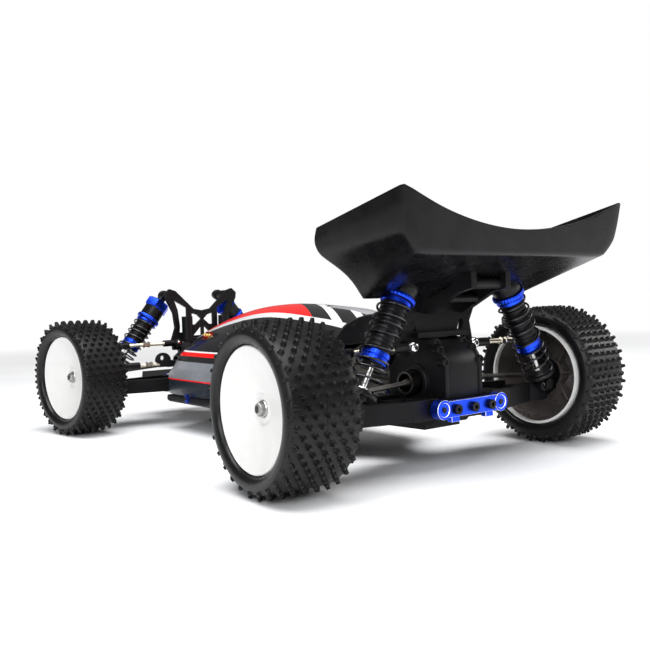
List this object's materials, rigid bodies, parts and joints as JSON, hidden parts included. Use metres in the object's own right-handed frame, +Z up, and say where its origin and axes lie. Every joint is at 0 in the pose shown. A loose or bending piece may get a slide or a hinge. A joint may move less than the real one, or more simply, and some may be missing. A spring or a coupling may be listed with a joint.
{
  "type": "rc buggy",
  "caption": "Radio-controlled off-road buggy with independent suspension, shaft drive, steered front wheels, painted body shell and a dished rear wing.",
  "frame": {"origin": "middle of the footprint, on the ground plane under the tyres", "axes": "+X forward, +Y to the left side of the car, +Z up"},
  "size_m": [0.392, 0.2558, 0.1448],
  "materials": {
    "tyre": "satin",
    "white_wheel": "satin",
    "black_plastic": "satin",
    "wing_black": "satin",
    "shell_paint": "gloss",
    "shock_black": "satin",
    "spring_steel": "satin",
    "steel": "satin",
    "blue_aluminium": "anodised satin",
    "battery_wrap": "gloss",
    "motor_can": "satin"
  },
  "bodies": {
    "chassis": {"chassis_plate": "black_plastic", "side_guards": "black_plastic", "front_bumper": "black_plastic", "front_gearbox": "black_plastic", "rear_gearbox": "black_plastic", "front_shock_tower": "black_plastic", "rear_shock_tower": "black_plastic", "hinge_pin_blocks": "blue_aluminium", "steel_hardware": "steel", "wing_mount": "black_plastic", "wing": "wing_black", "body_shell": "shell_paint", "battery": "battery_wrap", "motor": "motor_can", "radio_gear": "black_plastic"},
    "rear_left_arm": {"rear_left_arm": "black_plastic"},
    "rear_left_hub": {"rear_left_hub": "black_plastic"},
    "rear_left_wheel": {"rear_left_tyre": "tyre", "rear_left_wheel": "white_wheel"},
    "rear_left_upper_link": {"rear_left_upper_link": "black_plastic"},
    "rear_left_shock_body": {"rear_left_shock_body": "shock_black", "rear_left_spring": "spring_steel"},
    "rear_left_shock_shaft": {"rear_left_shock_shaft": "shock_black"},
    "rear_left_drive_shaft": {"rear_left_drive_shaft": "steel"},
    "rear_right_arm": {"rear_right_arm": "black_plastic"},
    "rear_right_hub": {"rear_right_hub": "black_plastic"},
    "rear_right_wheel": {"rear_right_tyre": "tyre", "rear_right_wheel": "white_wheel"},
    "rear_right_upper_link": {"rear_right_upper_link": "black_plastic"},
    "rear_right_shock_body": {"rear_right_shock_body": "shock_black", "rear_right_spring": "spring_steel"},
    "rear_right_shock_shaft": {"rear_right_shock_shaft": "shock_black"},
    "rear_right_drive_shaft": {"rear_right_drive_shaft": "steel"},
    "front_left_arm": {"front_left_arm": "black_plastic"},
    "front_left_caster_block": {"front_left_caster_block": "black_plastic"},
    "front_left_knuckle": {"front_left_knuckle": "black_plastic"},
    "front_left_wheel": {"front_left_tyre": "tyre", "front_left_wheel": "white_wheel"},
    "front_left_upper_link": {"front_left_upper_link": "black_plastic"},
    "front_left_shock_body": {"front_left_shock_body": "shock_black", "front_left_spring": "spring_steel"},
    "front_left_shock_shaft": {"front_left_shock_shaft": "shock_black"},
    "front_left_drive_shaft": {"front_left_drive_shaft": "steel"},
    "front_right_arm": {"front_right_arm": "black_plastic"},
    "front_right_caster_block": {"front_right_caster_block": "black_plastic"},
    "front_right_knuckle": {"front_right_knuckle": "black_plastic"},
    "front_right_wheel": {"front_right_tyre": "tyre", "front_right_wheel": "white_wheel"},
    "front_right_upper_link": {"front_right_upper_link": "black_plastic"},
    "front_right_shock_body": {"front_right_shock_body": "shock_black", "front_right_spring": "spring_steel"},
    "front_right_shock_shaft": {"front_right_shock_shaft": "shock_black"},
    "front_right_drive_shaft": {"front_right_drive_shaft": "steel"},
    "steering_rack": {"steering_rack": "black_plastic"},
    "front_left_steering_link": {"front_left_steering_link": "black_plastic"},
    "front_right_steering_link": {"front_right_steering_link": "black_plastic"},
    "rear_diff": {"rear_diff": "steel"},
    "front_diff": {"front_diff": "steel"},
    "centre_shaft": {"centre_shaft": "steel"},
    "pinion_gear": {"pinion_gear": "steel"}
  },
  "joints": [
    {"name": "rear_left_arm_swing", "type": "hinge", "parent": "chassis", "child": "rear_left_arm", "pos_m": [-0.1287, 0.0224, 0.035], "axis": [1, 0, 0], "range_deg": [-12, 14], "stiffness_Nm_per_rad": 1.25, "springref_deg": -11.46},
    {"name": "rear_left_hub_pivot", "type": "hinge", "parent": "rear_left_arm", "child": "rear_left_hub", "pos_m": [-0.1287, 0.079, 0.033], "axis": [1, 0, 0], "range_deg": [-13.7, 11.79]},
    {"name": "rear_left_upper_link_swing", "type": "hinge", "parent": "chassis", "child": "rear_left_upper_link", "pos_m": [-0.1351, 0.0241, 0.0672], "axis": [1, 0, 0], "range_deg": [-12.68, 14.75]},
    {"name": "rear_left_shock_swing", "type": "hinge", "parent": "chassis", "child": "rear_left_shock_body", "pos_m": [-0.1467, 0.036, 0.107], "axis": [1, 0, 0], "range_deg": [-3.53, 4.07]},
    {"name": "rear_left_shock_travel", "type": "slide", "parent": "rear_left_shock_body", "child": "rear_left_shock_shaft", "axis": [0, 0.4982, -0.867], "range_m": [-0.01192, 0.01024], "deforming": ["rear_left_spring"]},
    {"name": "rear_left_drive_shaft_swing", "type": "hinge", "parent": "chassis", "child": "rear_left_drive_shaft", "pos_m": [-0.1287, 0.02, 0.0475], "axis": [1, 0, 0], "range_deg": [-10.42, 12.11]},
    {"name": "rear_left_wheel_spin", "type": "hinge", "parent": "rear_left_hub", "child": "rear_left_wheel", "pos_m": [-0.1287, 0.1054, 0.0432], "axis": [0.0576, 0.9983, 0], "continuous": true},
    {"name": "rear_right_arm_swing", "type": "hinge", "parent": "chassis", "child": "rear_right_arm", "pos_m": [-0.1287, -0.0224, 0.035], "axis": [-1, 0, 0], "range_deg": [-12, 14], "stiffness_Nm_per_rad": 1.25, "springref_deg": -11.46},
    {"name": "rear_right_hub_pivot", "type": "hinge", "parent": "rear_right_arm", "child": "rear_right_hub", "pos_m": [-0.1287, -0.079, 0.033], "axis": [-1, 0, 0], "range_deg": [-13.7, 11.79]},
    {"name": "rear_right_upper_link_swing", "type": "hinge", "parent": "chassis", "child": "rear_right_upper_link", "pos_m": [-0.1351, -0.0241, 0.0672], "axis": [-1, 0, 0], "range_deg": [-12.68, 14.75]},
    {"name": "rear_right_shock_swing", "type": "hinge", "parent": "chassis", "child": "rear_right_shock_body", "pos_m": [-0.1467, -0.036, 0.107], "axis": [-1, 0, 0], "range_deg": [-3.53, 4.07]},
    {"name": "rear_right_shock_travel", "type": "slide", "parent": "rear_right_shock_body", "child": "rear_right_shock_shaft", "axis": [0, -0.4982, -0.867], "range_m": [-0.01192, 0.01024], "deforming": ["rear_right_spring"]},
    {"name": "rear_right_drive_shaft_swing", "type": "hinge", "parent": "chassis", "child": "rear_right_drive_shaft", "pos_m": [-0.1287, -0.02, 0.0475], "axis": [-1, 0, 0], "range_deg": [-10.42, 12.11]},
    {"name": "rear_right_wheel_spin", "type": "hinge", "parent": "rear_right_hub", "child": "rear_right_wheel", "pos_m": [-0.1287, -0.1054, 0.0432], "axis": [-0.0576, 0.9983, 0], "continuous": true},
    {"name": "front_left_arm_swing", "type": "hinge", "parent": "chassis", "child": "front_left_arm", "pos_m": [0.1433, 0.02, 0.032], "axis": [1, 0, 0], "range_deg": [-12, 14], "stiffness_Nm_per_rad": 1.25, "springref_deg": -11.46},
    {"name": "front_left_caster_block_pivot", "type": "hinge", "parent": "front_left_arm", "child": "front_left_caster_block", "pos_m": [0.1433, 0.083, 0.03], "axis": [1, 0, 0], "range_deg": [-13.39, 11.52]},
    {"name": "front_left_upper_link_swing", "type": "hinge", "parent": "chassis", "child": "front_left_upper_link", "pos_m": [0.1353, 0.025, 0.064], "axis": [1, 0, 0], "range_deg": [-13.8, 16.05]},
    {"name": "front_left_shock_swing", "type": "hinge", "parent": "chassis", "child": "front_left_shock_body", "pos_m": [0.1577, 0.0255, 0.1025], "axis": [1, 0, 0], "range_deg": [-4.59, 5.3]},
    {"name": "front_left_shock_travel", "type": "slide", "parent": "front_left_shock_body", "child": "front_left_shock_shaft", "axis": [0, 0.6165, -0.7874], "range_m": [-0.01198, 0.01029], "deforming": ["front_left_spring"]},
    {"name": "front_left_drive_shaft_swing", "type": "hinge", "parent": "chassis", "child": "front_left_drive_shaft", "pos_m": [0.1433, 0.02, 0.0475], "axis": [1, 0, 0], "range_deg": [-10.89, 12.65]},
    {"name": "front_left_steer", "type": "hinge", "parent": "front_left_caster_block", "child": "front_left_knuckle", "pos_m": [0.1433, 0.092, 0.0427], "axis": [0, 0, 1], "range_deg": [-27.8, 12.2]},
    {"name": "front_left_wheel_spin", "type": "hinge", "parent": "front_left_knuckle", "child": "front_left_wheel", "pos_m": [0.14156, 0.10468, 0.0427], "axis": [-0.1357, 0.9907, 0], "continuous": true},
    {"name": "front_right_arm_swing", "type": "hinge", "parent": "chassis", "child": "front_right_arm", "pos_m": [0.1433, -0.02, 0.032], "axis": [-1, 0, 0], "range_deg": [-12, 14], "stiffness_Nm_per_rad": 1.25, "springref_deg": -11.46},
    {"name": "front_right_caster_block_pivot", "type": "hinge", "parent": "front_right_arm", "child": "front_right_caster_block", "pos_m": [0.1433, -0.083, 0.03], "axis": [-1, 0, 0], "range_deg": [-13.39, 11.52]},
    {"name": "front_right_upper_link_swing", "type": "hinge", "parent": "chassis", "child": "front_right_upper_link", "pos_m": [0.1353, -0.025, 0.064], "axis": [-1, 0, 0], "range_deg": [-13.8, 16.05]},
    {"name": "front_right_shock_swing", "type": "hinge", "parent": "chassis", "child": "front_right_shock_body", "pos_m": [0.1577, -0.0255, 0.1025], "axis": [-1, 0, 0], "range_deg": [-4.59, 5.3]},
    {"name": "front_right_shock_travel", "type": "slide", "parent": "front_right_shock_body", "child": "front_right_shock_shaft", "axis": [0, -0.6165, -0.7874], "range_m": [-0.01198, 0.01029], "deforming": ["front_right_spring"]},
    {"name": "front_right_drive_shaft_swing", "type": "hinge", "parent": "chassis", "child": "front_right_drive_shaft", "pos_m": [0.1433, -0.02, 0.0475], "axis": [-1, 0, 0], "range_deg": [-10.89, 12.65]},
    {"name": "front_right_steer", "type": "hinge", "parent": "front_right_caster_block", "child": "front_right_knuckle", "pos_m": [0.1433, -0.092, 0.0427], "axis": [0, 0, 1], "range_deg": [-27.8, 12.2]},
    {"name": "front_right_wheel_spin", "type": "hinge", "parent": "front_right_knuckle", "child": "front_right_wheel", "pos_m": [0.14504, -0.10468, 0.0427], "axis": [-0.1357, 0.9907, 0], "continuous": true},
    {"name": "rack_slide", "type": "slide", "parent": "chassis", "child": "steering_rack", "axis": [0, 1, 0], "range_m": [-0.0056, 0.0116]},
    {"name": "front_left_steering_link_swing", "type": "hinge", "parent": "steering_rack", "child": "front_left_steering_link", "pos_m": [0.1213, 0.03001, 0.049], "axis": [1, 0, 0], "range_deg": [-14.1, 16.4]},
    {"name": "front_right_steering_link_swing", "type": "hinge", "parent": "steering_rack", "child": "front_right_steering_link", "pos_m": [0.1213, -0.03599, 0.049], "axis": [-1, 0, 0], "range_deg": [-14.1, 16.4]},
    {"name": "rear_diff_spin", "type": "hinge", "parent": "chassis", "child": "rear_diff", "pos_m": [-0.1287, 0, 0.0475], "axis": [0, 1, 0], "continuous": true},
    {"name": "front_diff_spin", "type": "hinge", "parent": "chassis", "child": "front_diff", "pos_m": [0.1433, 0, 0.0475], "axis": [0, 1, 0], "continuous": true},
    {"name": "centre_shaft_spin", "type": "hinge", "parent": "chassis", "child": "centre_shaft", "pos_m": [-0.0707, 0, 0.0475], "axis": [1, 0, 0], "continuous": true},
    {"name": "pinion_spin", "type": "hinge", "parent": "chassis", "child": "pinion_gear", "pos_m": [-0.0707, 0.0252, 0.0475], "axis": [1, 0, 0], "continuous": true}
  ],
  "couplings": [
    {"joint": "rear_left_hub_pivot", "follows": "rear_left_arm_swing", "ratio": -0.95705},
    {"joint": "rear_left_upper_link_swing", "follows": "rear_left_arm_swing", "ratio": 1.0319},
    {"joint": "rear_left_shock_swing", "follows": "rear_left_arm_swing", "ratio": 0.26911},
    {"joint": "rear_left_shock_travel", "follows": "rear_left_arm_swing", "m_per_rad": -0.047956},
    {"joint": "rear_left_drive_shaft_swing", "follows": "rear_left_arm_swing", "ratio": 0.8433},
    {"joint": "rear_right_hub_pivot", "follows": "rear_right_arm_swing", "ratio": -0.95705},
    {"joint": "rear_right_upper_link_swing", "follows": "rear_right_arm_swing", "ratio": 1.0319},
    {"joint": "rear_right_shock_swing", "follows": "rear_right_arm_swing", "ratio": 0.26911},
    {"joint": "rear_right_shock_travel", "follows": "rear_right_arm_swing", "m_per_rad": -0.047956},
    {"joint": "rear_right_drive_shaft_swing", "follows": "rear_right_arm_swing", "ratio": 0.8433},
    {"joint": "rear_right_wheel_spin", "follows": "rear_left_wheel_spin", "ratio": 1},
    {"joint": "front_left_caster_block_pivot", "follows": "front_left_arm_swing", "ratio": -0.93473},
    {"joint": "front_left_upper_link_swing", "follows": "front_left_arm_swing", "ratio": 1.1251},
    {"joint": "front_left_shock_swing", "follows": "front_left_arm_swing", "ratio": 0.35753},
    {"joint": "front_left_shock_travel", "follows": "front_left_arm_swing", "m_per_rad": -0.048197},
    {"joint": "front_left_drive_shaft_swing", "follows": "front_left_arm_swing", "ratio": 0.88245},
    {"joint": "front_left_wheel_spin", "follows": "rear_left_wheel_spin", "ratio": 1},
    {"joint": "front_right_caster_block_pivot", "follows": "front_right_arm_swing", "ratio": -0.93473},
    {"joint": "front_right_upper_link_swing", "follows": "front_right_arm_swing", "ratio": 1.1251},
    {"joint": "front_right_shock_swing", "follows": "front_right_arm_swing", "ratio": 0.35753},
    {"joint": "front_right_shock_travel", "follows": "front_right_arm_swing", "m_per_rad": -0.048197},
    {"joint": "front_right_drive_shaft_swing", "follows": "front_right_arm_swing", "ratio": 0.88245},
    {"joint": "front_right_steer", "follows": "front_left_steer", "ratio": 1},
    {"joint": "front_right_wheel_spin", "follows": "rear_left_wheel_spin", "ratio": 1},
    {"joint": "rack_slide", "follows": "front_left_steer", "m_per_rad": -0.021796},
    {"joint": "front_left_steering_link_swing", "follows": "front_left_arm_swing", "ratio": 1.1501},
    {"joint": "front_right_steering_link_swing", "follows": "front_right_arm_swing", "ratio": 1.1501},
    {"joint": "rear_diff_spin", "follows": "rear_left_wheel_spin", "ratio": 1},
    {"joint": "front_diff_spin", "follows": "rear_left_wheel_spin", "ratio": 1},
    {"joint": "centre_shaft_spin", "follows": "rear_left_wheel_spin", "ratio": 2.6667},
    {"joint": "pinion_spin", "follows": "rear_left_wheel_spin", "ratio": -8.5333}
  ]
}
